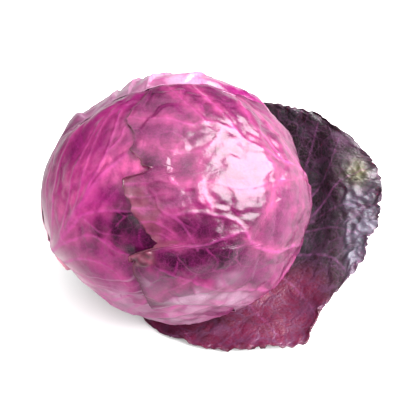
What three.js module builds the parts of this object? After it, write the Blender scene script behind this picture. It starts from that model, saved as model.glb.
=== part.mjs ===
// A red cabbage head lying on its side on its own loosened outer leaf.
// Millimetres, +Z up. The origin is on the resting surface, under the middle of the head.
// -Y faces the viewer, and the cut stem points to -X and down.

import * as THREE from "three";

// Driving dimensions of the head
const headHalfAcross = 73.8; // firm inner head, half its width front to back and top to bottom
const headHalfAlong = 79; // firm inner head, half its length along X
const restingGap = 0.5; // between one leaf and the next
const clearance = 0.9; // least distance from a leaf to the leaf under it, at the places looked at
const bladeThickness = 1.0; // a leaf away from its ribs
const fullerAtStem = 4.5;
const stemRadius = 13;
const stemSeat = 78.5; // distance of the flat under the stem from the head's centre
const stemEnd = 88.5; // distance of the cut face of the stem from the head's centre
const layerFall = 15; // how far a covered leaf's step takes to die away beside its margin
const looseThickness = 1.2; // the loosened leaf
const stemGap = 0.3; // between the stem and the flat it sits on
const fullerWithin = 60; // degrees from the stem within which the head is fuller and has its flat
const liftReach = 9; // how far in from a margin the leaf still lifts off

// The directions of the head: the stem, and the side of the head that faces the viewer
const stemDirection = new THREE.Vector3(-0.881, -0.192, -0.432).normalize();
const viewerSide = new THREE.Vector3(-0.152, -0.75, 0.643).normalize();
const upperSide = new THREE.Vector3().crossVectors(stemDirection, viewerSide);

const degrees = Math.PI / 180;
const meanRadius = 82; // turns degrees on the head into millimetres of leaf
const millimetresPerDegree = meanRadius * degrees;

const clamp = (x, low, high) => Math.min(high, Math.max(low, x));

function smoothStep(x) {
  const s = clamp(x, 0, 1);
  return s * s * (3 - 2 * s);
}

// A smooth curve through evenly spaced values, read at x from 0 to 1
function throughValues(values, x) {
  const last = values.length - 1;
  const place = clamp(x, 0, 1) * last;
  const i = Math.min(last - 1, Math.floor(place));
  const f = place - i;
  const at = (j) => values[clamp(j, 0, last)];
  const [a, b, c, d] = [at(i - 1), at(i), at(i + 1), at(i + 2)];
  return b + 0.5 * f * (c - a + f * (2 * a - 5 * b + 4 * c - d + f * (3 * (b - c) + d - a)));
}

// Radius of the firm inner head in a direction from its centre: an oval,
// fuller towards the stem, flat where the stem sits and flatter at the upper left and the top.
const flatSides = [
  { side: new THREE.Vector3(-0.62, 0.55, 0.56).normalize(), depth: 2.5, width: 26 },
  { side: new THREE.Vector3(0.34, 0.66, 0.66).normalize(), depth: 5.5, width: 34 },
];
function innerHeadRadius(d) {
  const oval = 1 / Math.hypot(d.x / headHalfAlong, d.y / headHalfAcross, d.z / headHalfAcross);
  const fromStem = Math.acos(clamp(d.dot(stemDirection), -1, 1)) / degrees;
  let radius = oval + fullerAtStem * Math.exp(-((fromStem / fullerWithin) ** 2));
  for (const { side, depth, width } of flatSides) {
    const fromFlat = Math.acos(clamp(d.dot(side), -1, 1)) / degrees;
    radius -= depth * Math.exp(-((fromFlat / width) ** 2));
  }
  const seat = fromStem < fullerWithin ? stemSeat / d.dot(stemDirection) : Infinity;
  return Math.min(radius, seat);
}

// A wrapped leaf is laid out in degrees on the head: u runs from the stem along its midrib,
// v runs across. low, mid and high are v at the two margins and at the midrib,
// read along u from the leaf's base to its tip; end is u at the tip margin, read across.
// azimuth is where its base stands round the stem: 0 to the viewer, 90 to the upper side.
function leafFrame(azimuth) {
  const away = new THREE.Vector3()
    .addScaledVector(viewerSide, Math.cos(azimuth * degrees))
    .addScaledVector(upperSide, Math.sin(azimuth * degrees));
  return { start: stemDirection, away, side: new THREE.Vector3().crossVectors(away, stemDirection) };
}

// The front leaf comes round the back of the head and over its right end, so its midrib
// follows a level ring that passes above the stem.
const frontLeafSide = new THREE.Vector3(-0.06, 0.768, 0.638).normalize();
const frontLeafStart = new THREE.Vector3(-0.973, 0.099, -0.211).normalize();
const frontLeafFrame = {
  start: frontLeafStart,
  away: new THREE.Vector3().crossVectors(frontLeafStart, frontLeafSide),
  side: frontLeafSide,
};

const baseDegrees = 10; // where a leaf's base starts, measured from the stem's axis

// From the innermost wrapped leaf to the outermost
const wrappedLeaves = [
  {
    name: "leaf_back_lower",
    frame: leafFrame(-150),
    tip: 168,
    low: [-9, -38, -58, -66, -66, -58, -40],
    mid: [0, 0, 0, 0, 0, 0, 0],
    high: [9, 38, 58, 66, 66, 58, 40],
    end: [-22, -8, -2, 0, -3, -9, -24],
    rows: 14,
    columns: 16,
    ribHeight: 2.2,
    pleat: 0.7,
    lift: 0.6,
    colour: 0x8e3a78,
  },
  {
    name: "leaf_bottom",
    frame: leafFrame(-66),
    tip: 160,
    low: [-14, -38, -52, -56, -56, -50, -36],
    mid: [0, -2, -3, -3, 0, 0, 0],
    high: [9, 34, 56, 66, 66, 58, 40],
    end: [-20, -8, -2, 0, -3, -9, -22],
    rows: 16,
    columns: 16,
    ribHeight: 2.4,
    pleat: 0.8,
    lift: 0.8,
    colour: 0xb8709a,
  },
  {
    name: "leaf_back_upper",
    frame: leafFrame(140),
    tip: 165,
    low: [-9, -36, -54, -62, -62, -54, -38],
    mid: [0, 0, 0, 0, 0, 0, 0],
    high: [9, 40, 48, 36, 36, 38, 30],
    end: [-22, -8, -2, 0, -3, -9, -20],
    rows: 14,
    columns: 16,
    ribHeight: 2.2,
    pleat: 0.7,
    lift: 1.8,
    colour: 0x9a4384,
  },
  {
    name: "leaf_left",
    frame: leafFrame(106),
    tip: 150,
    low: [-9, -34, -48, -52, -46, -38, -28],
    mid: [0, 0, 0, 0, 0, 0, 0],
    high: [9, 32, 36, 20, 16, 20, 18],
    end: [-20, -8, -2, 0, -3, -8, -16],
    rows: 14,
    columns: 16,
    ribHeight: 2.2,
    pleat: 0.8,
    lift: 1.8,
    colour: 0xb26a9c,
  },
  {
    name: "leaf_ribbed",
    frame: leafFrame(20),
    tip: 150,
    low: [-9, -34, -42, -46, -46, -42, -34],
    mid: [1, 6.5, 2.6, -4.8, -9.5, -12, -12],
    high: [14, 36, 60, 64, 62, 56, 44],
    end: [-14, -6, -2, 0, -3, -8, -16],
    rows: 20,
    columns: 20,
    ribHeight: 2.6,
    pleat: 1.0,
    lift: 0.8,
    colour: 0xb0408c,
  },
  {
    name: "leaf_front",
    frame: frontLeafFrame,
    tip: 282,
    low: [-31, -66, -68, -66, -66, -64, -62, -62],
    mid: [-21.7, -17, -7, 0, 1, 2, 1, 2],
    high: [-12, 28, 58, 66, 68, 68, 66, 66],
    end: [4, 4, 4, 3, -2, -12, -9, -4, -1, -8, -6, -6, -1, -1, -5, -8, -8],
    rows: 30,
    columns: 24,
    ribHeight: 2.4,
    pleat: 1.1,
    lift: 1.6,
    colour: 0xc25e9e,
  },
  {
    name: "leaf_top",
    frame: leafFrame(125),
    tip: 166,
    low: [-9, -36, -54, -60, -58, -50, -36],
    mid: [0, 0, 0, 0, 0, 0, 0],
    high: [9, 32, 48, 53, 56, 44, 28],
    end: [-22, -8, -2, 0, -3, -9, -20],
    rows: 16,
    columns: 16,
    ribHeight: 2.2,
    pleat: 0.9,
    lift: 1.2,
    colour: 0xa64a90,
  },
];

function directionOn(frame, u, v) {
  const along = Math.cos(v * degrees);
  return new THREE.Vector3()
    .addScaledVector(frame.start, along * Math.cos(u * degrees))
    .addScaledVector(frame.away, along * Math.sin(u * degrees))
    .addScaledVector(frame.side, Math.sin(v * degrees));
}

const behindBase = -40; // u below this is read as the far end of a long leaf
function placeOn(frame, d) {
  const v = Math.asin(clamp(d.dot(frame.side), -1, 1)) / degrees;
  const u = Math.atan2(d.dot(frame.away), d.dot(frame.start)) / degrees;
  return { u: u < behindBase ? u + 360 : u, v };
}

function margins(leaf, u) {
  const share = (u - baseDegrees) / (leaf.tip - baseDegrees);
  return {
    low: throughValues(leaf.low, share),
    mid: throughValues(leaf.mid, share),
    high: throughValues(leaf.high, share),
  };
}

const tipAt = (leaf, t) => leaf.tip + throughValues(leaf.end, (clamp(t, -1, 1) + 1) / 2);

// Where a place lies on a leaf: t is -1 and 1 at the side margins and 0 at the midrib,
// inside is the distance in from the nearest margin, and it is negative outside.
function onLeaf(leaf, u, v) {
  const { low, mid, high } = margins(leaf, u);
  const t = v < mid ? (v - mid) / (mid - low) : (v - mid) / (high - mid);
  const across = Math.min(v - low, high - v);
  const along = Math.min(tipAt(leaf, t) - u, u - baseDegrees);
  const inside = Math.min(across, along * Math.cos(v * degrees)) * millimetresPerDegree;
  return { t, fromRib: v - mid, inside };
}

// How far a leaf's sheet stands off the layer under it: pleats along its veins, and a lifted margin
function standOff(leaf, u, place) {
  const fanned = smoothStep((u - baseDegrees - 6) / 30);
  const ridges = leaf.columns / 8;
  const pleats = 0.5 * leaf.pleat * fanned * (1 + Math.cos(2 * Math.PI * ridges * clamp(place.t, -1, 1)));
  const lifted = leaf.lift * Math.exp(-((Math.max(place.inside, 0) / liftReach) ** 2)) * fanned;
  return pleats + lifted;
}

// The midrib thickens the outside of the leaf and dies away towards the tip
function ribAt(leaf, u, place) {
  const left = 1 - smoothStep((u - baseDegrees) / (0.8 * (leaf.tip - baseDegrees)));
  const halfWidth = 2.2 + 4.5 * left; // degrees
  return leaf.ribHeight * left * Math.exp(-((place.fromRib / halfWidth) ** 2));
}

// Radius of the top of the pile of leaves in a direction, counting the first leaves only
function pileRadius(d, count) {
  let radius = innerHeadRadius(d) + restingGap;
  for (const leaf of wrappedLeaves.slice(0, count)) {
    const { u, v } = placeOn(leaf.frame, d);
    const place = onLeaf(leaf, u, v);
    const beside = 2; // the step stays full this far outside the margin
    const step = smoothStep((place.inside + beside + layerFall) / layerFall);
    if (step > 0) {
      radius += step * (bladeThickness + restingGap + standOff(leaf, u, place) + ribAt(leaf, u, place));
    }
  }
  return radius;
}

// A closed sheet from two grids of points, inner and outer, stitched round their rim
function closedSheet(inner, outer) {
  const rows = inner.length;
  const columns = inner[0].length;
  const points = [...inner.flat(), ...outer.flat()];
  const index = [];
  const outerFirst = rows * columns;
  const quad = (a, b, c, d) => index.push(a, b, c, a, c, d);
  for (let i = 0; i < rows - 1; i++) {
    for (let j = 0; j < columns - 1; j++) {
      const a = i * columns + j;
      const corners = [a, a + 1, a + columns + 1, a + columns];
      quad(...corners.map((k) => k + outerFirst));
      index.push(corners[0], corners[2], corners[1], corners[0], corners[3], corners[2]);
    }
  }
  const rim = [];
  for (let j = 0; j < columns - 1; j++) rim.push(j);
  for (let i = 0; i < rows - 1; i++) rim.push(i * columns + columns - 1);
  for (let j = columns - 1; j > 0; j--) rim.push((rows - 1) * columns + j);
  for (let i = rows - 1; i > 0; i--) rim.push(i * columns);
  rim.forEach((a, k) => {
    const b = rim[(k + 1) % rim.length];
    quad(a, b, b + outerFirst, a + outerFirst);
  });
  const geometry = new THREE.BufferGeometry();
  geometry.setAttribute("position", new THREE.Float32BufferAttribute(points.flatMap((p) => p.toArray()), 3));
  geometry.setIndex(index);
  geometry.computeVertexNormals();
  return geometry;
}

const cabbage = new THREE.Group();
cabbage.name = "cabbage";

function addPiece(name, geometry, colour, roughness) {
  const material = new THREE.MeshStandardMaterial({ color: colour, roughness, metalness: 0 });
  const piece = new THREE.Mesh(geometry, material);
  piece.name = name;
  cabbage.add(piece);
  return piece;
}

// The head is modelled round its own middle and lifted onto the loosened leaf afterwards.
const pointAt = (d, radius) => d.clone().multiplyScalar(radius);

// Looking inwards from far outside: how far the outermost piece reaches in a direction
const farOutside = 300;
const sight = new THREE.Raycaster();
function reachOf(pieces, middle, d) {
  sight.set(d.clone().multiplyScalar(farOutside).add(middle), d.clone().negate());
  const [first] = sight.intersectObjects(pieces, false);
  return first ? farOutside - first.distance : 0;
}

// Moves the points of a sheet's inner face outwards until each flat triangle between them
// clears the pieces it lies on. The places looked at are the corners, the middles and the edges.
const placesLookedAt = [
  [1, 0, 0, 0],
  [0.5, 0.5, 0, 0],
  [0.5, 0, 0, 0.5],
  [0.5, 0, 0.5, 0],
  [0.34, 0.33, 0.33, 0],
  [0.34, 0, 0.33, 0.33],
  [0.7, 0.15, 0.15, 0],
  [0.15, 0.7, 0.15, 0],
  [0.15, 0.15, 0.7, 0],
  [0.15, 0, 0.15, 0.7],
];
function clearPieces(grid, pieces, middle) {
  const missing = grid.map((row) => row.map(() => 0));
  for (let i = 0; i < grid.length - 1; i++) {
    for (let j = 0; j < grid[0].length - 1; j++) {
      const cell = [[i, j], [i, j + 1], [i + 1, j + 1], [i + 1, j]];
      for (const weights of placesLookedAt) {
        const place = new THREE.Vector3();
        cell.forEach(([a, b], k) => place.addScaledVector(grid[a][b], weights[k]));
        place.sub(middle);
        const d = place.clone().normalize();
        const short = reachOf(pieces, middle, d) + clearance - place.length();
        for (const [a, b] of cell) missing[a][b] = Math.max(missing[a][b], short);
      }
    }
  }
  grid.forEach((row, i) => {
    row.forEach((p, j) => p.addScaledVector(p.clone().sub(middle).normalize(), missing[i][j]));
  });
}

// The firm inner head
function innerHead() {
  const geometry = new THREE.SphereGeometry(1, 28, 18);
  const position = geometry.getAttribute("position");
  const d = new THREE.Vector3();
  for (let i = 0; i < position.count; i++) {
    d.fromBufferAttribute(position, i).normalize();
    position.setXYZ(i, ...pointAt(d, innerHeadRadius(d)).toArray());
  }
  geometry.computeVertexNormals();
  return geometry;
}
addPiece("inner_head", innerHead(), 0x9c4a86, 0.5);

// The stem, cut off level with the leaf bases
function stem() {
  const length = stemEnd - stemSeat - stemGap;
  const geometry = new THREE.CylinderGeometry(stemRadius - 1, stemRadius - 1.8, length, 20);
  const turned = new THREE.Quaternion().setFromUnitVectors(new THREE.Vector3(0, 1, 0), stemDirection);
  geometry.applyQuaternion(turned);
  const middle = pointAt(stemDirection, stemSeat + stemGap + length / 2);
  return geometry.translate(...middle.toArray());
}
addPiece("stem", stem(), 0xd9cbb8, 0.7);

// One wrapped leaf, laid on the pile of those under it
function wrappedLeaf(leaf, order) {
  const inner = [];
  const thicker = [];
  for (let i = 0; i <= leaf.rows; i++) {
    inner.push([]);
    thicker.push([]);
    for (let j = 0; j <= leaf.columns; j++) {
      const t = (2 * j) / leaf.columns - 1;
      const u = baseDegrees + (i / leaf.rows) * (tipAt(leaf, t) - baseDegrees);
      const { low, mid, high } = margins(leaf, u);
      const v = t < 0 ? mid + t * (mid - low) : mid + t * (high - mid);
      const d = directionOn(leaf.frame, u, v);
      const place = onLeaf(leaf, u, v);
      inner[i].push(pointAt(d, pileRadius(d, order) + standOff(leaf, u, place)));
      thicker[i].push(bladeThickness + ribAt(leaf, u, place));
    }
  }
  clearPieces(inner, cabbage.children, new THREE.Vector3());
  const outer = inner.map((row, i) => {
    return row.map((p, j) => p.clone().addScaledVector(p.clone().normalize(), thicker[i][j]));
  });
  return closedSheet(inner, outer);
}
wrappedLeaves.forEach((leaf, order) => addPiece(leaf.name, wrappedLeaf(leaf, order), leaf.colour, 0.35));

// Lift the head until its lowest leaf is one gap above the loosened leaf
const lowest = Math.min(...cabbage.children.map((piece) => {
  piece.geometry.computeBoundingBox();
  return piece.geometry.boundingBox.min.z;
}));
const centre = new THREE.Vector3(0, 0, looseThickness + clearance - lowest);
for (const piece of cabbage.children) {
  piece.geometry.translate(...centre.toArray());
  piece.geometry.computeBoundingSphere();
}

// The loosened leaf: it hangs from the stem's lower side, lies under the head and stands up
// behind it like a bowl with a turned-out rim. Each row of points crosses the leaf from its
// near margin to its far one, and the rows run from the stem to the tip.
const looseLeafNet = [
  [[-67, 0, 34], [-68, 4, 33], [-69, 8, 32], [-69, 13, 33], [-68, 19, 36]],
  [[-50, -4, 15], [-50, 4, 12], [-51, 14, 11], [-56, 32, 18], [-60, 50, 36]],
  [[-30, -24, 4], [-31, -6, 3], [-32, 16, 2], [-36, 50, 12], [-40, 76, 42]],
  [[-8, -48, 2], [-9, -12, 1], [-7, 22, 1], [-8, 60, 10], [-4, 94, 52]],
  [[22, -61, 4], [20, -14, 1], [22, 26, 1], [28, 70, 10], [32, 106, 64]],
  [[54, -63, 5], [54, -14, 1], [60, 30, 3], [68, 76, 17], [66, 104, 69]],
  [[83, -60, 7], [82, -10, 4], [92, 40, 15], [96, 76, 34], [92, 100, 69]],
  [[99, -43, 10], [109, -2, 18], [114, 38, 32], [110, 70, 46], [108, 91, 64]],
  [[104, -28, 12], [130, 1, 28], [142, 30, 38], [140, 61, 47], [122, 82, 59]],
];
const looseRows = 24;
const looseColumns = 20;

function looseLeafPoint(s, t) {
  const at = (axis) => {
    const across = looseLeafNet.map((row) => throughValues(row.map((p) => p[axis]), (t + 1) / 2));
    return throughValues(across, s);
  };
  return new THREE.Vector3(at(0), at(1), at(2));
}

const ruffledFrom = 0.72; // share of the half width at which the rim starts to ruffle
const ruffleHeight = 3;
const looseRibHeight = 2.4;
const looseRibWidth = 0.12; // of the half width

function looseLeaf() {
  const across = new THREE.Vector3();
  const along = new THREE.Vector3();
  const small = 0.01;
  const inner = [];
  const under = [];
  for (let i = 0; i <= looseRows; i++) {
    inner.push([]);
    under.push([]);
    for (let j = 0; j <= looseColumns; j++) {
      const s = i / looseRows;
      const t = (2 * j) / looseColumns - 1;
      const p = looseLeafPoint(s, t);
      along.subVectors(looseLeafPoint(s + small, t), looseLeafPoint(s - small, t));
      across.subVectors(looseLeafPoint(s, t + small), looseLeafPoint(s, t - small));
      const upward = new THREE.Vector3().crossVectors(along, across).normalize();
      const sideRim = smoothStep((Math.abs(t) - ruffledFrom) / (1 - ruffledFrom));
      const tipRim = smoothStep((s - 0.8) / 0.2);
      const waves = Math.sin(12 * t + 31 * s) * smoothStep((s - 0.15) / 0.2);
      p.addScaledVector(upward, Math.max(sideRim, tipRim) * ruffleHeight * waves);
      p.z = Math.max(looseThickness, p.z);
      inner[i].push(p);
      const rib = looseRibHeight * (1 - smoothStep(s / 0.9)) * Math.exp(-((t / looseRibWidth) ** 2));
      under[i].push(upward.multiplyScalar(-looseThickness - rib));
    }
  }
  clearPieces(inner, cabbage.children, centre);
  inner.flat().forEach((p) => {
    p.z = Math.max(looseThickness, p.z);
  });
  const outer = inner.map((row, i) => row.map((p, j) => under[i][j].add(p)));
  outer.flat().forEach((p) => {
    p.z = Math.max(0, p.z);
  });
  return closedSheet(inner, outer);
}

addPiece("leaf_loose", looseLeaf(), 0x4c3240, 0.6);

export default cabbage;
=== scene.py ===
import math

import bpy
import numpy as np
from mathutils import Matrix, Vector


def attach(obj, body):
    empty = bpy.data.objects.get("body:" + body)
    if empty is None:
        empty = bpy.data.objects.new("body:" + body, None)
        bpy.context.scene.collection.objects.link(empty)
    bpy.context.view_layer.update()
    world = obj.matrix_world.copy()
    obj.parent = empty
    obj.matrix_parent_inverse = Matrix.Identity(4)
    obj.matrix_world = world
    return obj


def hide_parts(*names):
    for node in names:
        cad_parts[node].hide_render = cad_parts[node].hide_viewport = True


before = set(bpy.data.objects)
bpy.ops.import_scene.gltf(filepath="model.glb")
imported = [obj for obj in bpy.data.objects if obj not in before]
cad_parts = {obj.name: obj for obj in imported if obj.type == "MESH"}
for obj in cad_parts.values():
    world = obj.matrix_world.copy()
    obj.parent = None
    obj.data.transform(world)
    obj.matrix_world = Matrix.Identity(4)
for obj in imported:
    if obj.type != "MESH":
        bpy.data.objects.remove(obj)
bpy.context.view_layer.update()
print("frame loaded")

mm = 0.001

# The head's own directions


def unit(v):
    v = np.asarray(v, float)
    return v / np.linalg.norm(v, axis=-1, keepdims=True)


head = {
    "halfAcross": 76.0,  # mm, the firm inside without its wrapped leaves
    "halfAlong": 80.8,
    "fullerAtStem": 3.0,
    "stemSeat": 79.3,
    "centreHeight": 81.9,
    "gap": 0.55,  # between one leaf and the next
    "blade": 0.9,
    "fall": 20.0,  # how softly a leaf settles beside the margin of the one under it
    "pressedFall": 3.0,
    "marginReach": 5,  # how far in from a margin it is thinner or lifts off
    "flatSides": [  # direction, mm deep, degrees wide
        ((-0.64, 0.54, 0.54), 5.0, 20), ((0.34, 0.66, 0.66), 3.0, 34), ((-0.72, -0.49, -0.49), 6.0, 22),
    ],
}
marginShare = 0.35  # how much of its thickness a leaf keeps at its margins
centre = np.array([0, 0, head["centreHeight"]])
stemDirection = unit([-0.881, -0.192, -0.432])
viewerSide = unit([-0.152, -0.75, 0.643])
upperSide = np.cross(stemDirection, viewerSide)
meanRadius = 82.0  # mm, turns an angle on the head into a length on the leaf
mmPerDegree = math.radians(meanRadius)
atOnce = 6000  # points measured in one go


def smoothStep(x):
    s = np.clip(x, 0, 1)
    return s * s * (3 - 2 * s)


def bell(x, width):  # 1 where x is 0, and nearly 0 two widths away
    return np.exp(-((x / width) ** 2))


def between(a, b, c, d, f):  # smooth curve from b to c, with a before them and d after
    return b + 0.5 * f * (c - a + f * (2 * a - 5 * b + 4 * c - d + f * (3 * (b - c) + d - a)))


def throughValues(values, x):  # smooth curve through evenly spaced values, x from 0 to 1
    values = np.asarray(values, float)
    last = len(values) - 1
    place = np.clip(x, 0, 1) * last
    i = np.minimum(last - 1, np.floor(place)).astype(int)
    f = place - i
    a, b, c, d = (values[np.clip(i + k, 0, last)] for k in (-1, 0, 1, 2))
    return between(a, b, c, d, f[:, None] if values.ndim > 1 else f)


def ripple(points, size, seed, waves=14):  # smooth uneven swell, about -1 to 1, humps size mm apart
    rng = np.random.default_rng(seed)
    turns = unit(rng.normal(size=(waves, 3))) * (2 * math.pi / size) * rng.uniform(0.6, 1.5, (waves, 1))
    phases = rng.uniform(0, 2 * math.pi, waves)
    total = np.zeros(len(points))
    for turn, phase in zip(turns, phases):
        total += np.sin(points @ turn + phase)
    return total * (1.35 / math.sqrt(waves))


def innerHeadRadius(d):
    scale = np.array([head["halfAlong"], head["halfAcross"], head["halfAcross"]])
    radius = 1 / np.linalg.norm(d / scale, axis=1)
    towardsStem = np.clip(d @ stemDirection, -1, 1)
    fromStem = np.degrees(np.arccos(towardsStem))
    radius = radius + head["fullerAtStem"] * bell(fromStem, 60)
    for side, depth, width in head["flatSides"]:
        fromFlat = np.degrees(np.arccos(np.clip(d @ unit(side), -1, 1)))
        radius = radius - depth * bell(fromFlat, width)
    seat = np.where(fromStem < 60, head["stemSeat"] / np.maximum(towardsStem, 0.3), 1e9)
    return np.minimum(radius, seat)


def leafFrame(azimuth):  # azimuth round the stem, 0 to the viewer, 90 to the upper side
    a = math.radians(azimuth)
    away = math.cos(a) * viewerSide + math.sin(a) * upperSide
    return stemDirection, away, np.cross(away, stemDirection)


frontStart = unit([-0.973, 0.099, -0.211])
frontSide = unit([-0.06, 0.768, 0.638])
frontFrame = (frontStart, np.cross(frontStart, frontSide), frontSide)
baseDegrees = 10.0  # a leaf's base, measured from the stem's axis

# u runs in degrees from the stem along the leaf, v across; low, mid and high are v at the
# margins and the midrib, read from base to tip, and end is how far the tip margin wanders.
# folds are how many, how high and up to which u. A patch is a tone painted as shade, glow, highlight or
# reflection, its middle in u and v, its half size in u and v, and how strong it is. shingles are their drops
# in u, height and first v.
straight = [0] * 7
wrappedLeaves = [
    {
        "name": "leaf_back_lower", "frame": leafFrame(-150), "tip": 168,
        "low": [-9, -38, -58, -66, -66, -58, -40], "mid": straight,
        "high": [9, 38, 58, 66, 66, 58, 40], "end": [-22, -8, -2, 0, -3, -9, -24],
        "rib": 2.2, "lift": 0.6, "grid": (104, 92), "seed": 11, "folds": (3.5, 1.2, 70),
    },
    {
        "name": "leaf_bottom", "frame": leafFrame(-66), "tip": 160,
        "low": [-14, -38, -52, -56, -56, -50, -36], "mid": [0, -2, -3, -3, 0, 0, 0],
        "high": [9, 34, 56, 66, 66, 58, 40], "end": [-20, -8, -2, 0, -3, -9, -22],
        "rib": 2.0, "lift": 0.8, "grid": (140, 120), "seed": 12, "folds": (5.5, 1.8, 100),
        # the bloom patch paints a pale reflection of the table under the head
        "patches": [("bloomAndPaintedSheen", 50, 0, 40, 40, 0.5)],
    },
    {
        "name": "leaf_back_upper", "frame": leafFrame(140), "tip": 165,
        "low": [-9, -36, -54, -62, -62, -54, -38], "mid": straight,
        "high": [9, 40, 48, 36, 36, 38, 30], "end": [-22, -8, -2, 0, -3, -9, -20],
        "rib": 2.2, "lift": 1.0, "grid": (120, 110), "seed": 13, "folds": (5.0, 1.6, 90),
    },
    {
        "name": "leaf_left", "frame": leafFrame(106), "tip": 150,
        "low": [-9, -34, -48, -52, -46, -38, -28], "mid": straight,
        "high": [9, 32, 36, 20, 16, 20, 18], "end": [-20, -8, -2, 0, -3, -8, -16],
        "rib": 2.2, "lift": 1.2, "grid": (130, 110), "seed": 14, "folds": (5.0, 1.8, 90),
        "shingles": ([42, 69, 92], 1.6, 16),
    },
    {
        "name": "leaf_ribbed", "frame": leafFrame(20), "tip": 150,
        "low": [-9, -34, -42, -46, -46, -42, -34], "mid": [1, 6.5, 2.6, -4.8, -9.5, -12, -12],
        "high": [14, 36, 60, 64, 62, 56, 44], "end": [-14, -6, -2, 0, -3, -8, -16],
        "rib": 2.4, "lift": 1.0, "grid": (210, 180), "seed": 15,
        "folds": (9.0, 1.3, 80), "foldsFrom": 0.58,
        "patches": [
            # shade patches: painted shade in and beside the torn notch; blush patches: a painted luminous
            # pink beside the midrib; the bloom patch: a painted pale reflection of the table low on the left
            ("blushAndPaintedGlow", 88, -4, 15, 8, 1.0), ("toneAndPaintedShade", 76, 25, 13, 13, 1.0), ("blushAndPaintedGlow", 60, -8, 22, 10, 0.5),
            ("bloomAndPaintedSheen", 29, 44, 14, 14, 0.5), ("toneAndPaintedShade", 59, 17, 12, 7, 0.6),
        ],
    },
    {
        "name": "leaf_front", "frame": frontFrame, "tip": 282,
        "low": [-31, -66, -68, -66, -66, -64, -62, -62], "mid": [-21.7, -17, -7, 0, 1, 2, 1, 2],
        "high": [-12, 28, 58, 66, 68, 68, 66, 66], "end": [0, 0],
        "rib": 2.4, "lift": 0.9, "grid": (250, 192), "seed": 16, "folds": (3.0, 0.6, 50),
        "crowd": 1.45, "facets": 0.035, "pressed": 0.3,
        "patches": [
            # shade patches: painted shade and a painted dark reflection in the band low on the leaf; blush
            # patches: a painted pink glow, also along the right limb; bloom patches: painted pale
            # reflections of the table on the lowest panels
            ("toneAndPaintedShade", 236, -30.5, 18, 7, 1.0), ("toneAndPaintedShade", 260, -35, 10, 6.5, 1.0),
            ("toneAndPaintedShade", 238, -18, 24, 7, 0.65),
            ("blushAndPaintedGlow", 214, 14, 20, 12, 0.35), ("blushAndPaintedGlow", 185, -10, 14, 50, 0.15),
            ("bloomAndPaintedSheen", 226, -44, 9, 4, 0.25), ("bloomAndPaintedSheen", 271, -47, 9, 8, 0.35),
            ("bloomAndPaintedSheen", 250, -56, 18, 7, 0.7), ("bloomAndPaintedSheen", 205, -63, 30, 10, 0.7),
        ],
    },
    {
        "name": "leaf_top", "frame": leafFrame(125), "tip": 166,
        "low": [-9, -36, -54, -60, -58, -50, -36], "mid": straight,
        "high": [9, 32, 48, 53, 56, 44, 28], "end": [-22, -8, -2, 0, -3, -9, -20],
        "rib": 2.2, "lift": 0.15, "grid": (150, 120), "seed": 17, "folds": (4.5, 1.4, 110),
        "shingles": ([40, 64, 88, 101, 118, 138, 160], 2.8, 22),
        # the bloom patch paints a pale highlight along the upper limb
        "patches": [("bloomAndPaintedSheen", 110, 44, 60, 16, 0.7)],
    },
]
leafByName = {leaf["name"]: leaf for leaf in wrappedLeaves}

# The torn margin of the front leaf: v across the leaf, and u where the leaf stops there
tornMargin = [
    (-66, 286), (-60, 285.8), (-54, 283.5), (-47, 281.8), (-39, 281.9), (-33, 281.5),
    (-30, 281.5), (-27.2, 281), (-26.2, 269), (-24, 266.2), (-22, 268), (-19, 270.5), (-16, 272),
    (-13, 274), (-10, 276), (-7, 276), (-4, 277), (-1, 278.5), (1.6, 279), (4, 279.6), (5, 276.5),
    (5.8, 271), (7.4, 267), (8.4, 266.3), (9.2, 270.5), (11.5, 271), (14.5, 273), (17, 276),
    (20.5, 274.6), (25, 274.6), (28, 276.6), (30, 278.6), (33.5, 280.4), (40, 279), (44.5, 275.5),
    (51.5, 272.5), (57, 272.6), (66, 272),
]


def tornEnd(v):
    stops = np.array(tornMargin, float)
    jag = 0.3 * np.sin(v * 1.3 + 2 * np.sin(0.6 * v)) + 0.1 * np.sin(v * 3.1 + 3 * np.sin(0.83 * v))
    return np.interp(v, stops[:, 0], stops[:, 1]) + jag


def directionOn(axes, u, v):
    start, away, side = axes
    u, v = np.radians(u), np.radians(v)
    across = np.cos(v)[:, None]
    return across * (np.cos(u)[:, None] * start + np.sin(u)[:, None] * away) + np.sin(v)[:, None] * side


def placeOn(axes, d):
    start, away, side = axes
    v = np.degrees(np.arcsin(np.clip(d @ side, -1, 1)))
    u = np.degrees(np.arctan2(d @ away, d @ start))
    return np.where(u < -40, u + 360, u), v


def margins(leaf, u):
    share = (u - baseDegrees) / (leaf["tip"] - baseDegrees)
    return [throughValues(leaf[k], share) for k in ("low", "mid", "high")]


def acrossAt(leaf, u, t):  # v at t, which is -1 and 1 at the margins and 0 at the midrib
    low, mid, high = margins(leaf, u)
    return np.where(t < 0, mid + t * (mid - low), mid + t * (high - mid))


def tipAt(leaf, t, v):
    if leaf["name"] == "leaf_front":
        return tornEnd(v)
    waves = 0.8 * np.sin(t * 9 + leaf["seed"]) + 0.5 * np.sin(t * 23 + leaf["seed"])
    return leaf["tip"] + waves + throughValues(leaf["end"], (np.clip(t, -1, 1) + 1) / 2)


def onLeaf(leaf, u, v):
    low, mid, high = margins(leaf, u)
    t = np.where(v < mid, (v - mid) / (mid - low), (v - mid) / (high - mid))
    across = np.minimum(v - low, high - v)
    along = np.minimum(tipAt(leaf, t, v) - u, u - baseDegrees)
    inside = np.minimum(across, along * np.cos(np.radians(v))) * mmPerDegree
    return t, v - mid, inside


def ribAt(leaf, u, fromRib):
    left = 1 - smoothStep((u - baseDegrees) / (0.8 * (leaf["tip"] - baseDegrees)))
    halfWidth = 1.6 + 3.2 * left
    return leaf["rib"] * left * bell(fromRib, halfWidth)


def fannedAt(u):  # a leaf's relief and its loose margins start a little way from its base
    return smoothStep((u - baseDegrees - 6) / 30)


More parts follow.
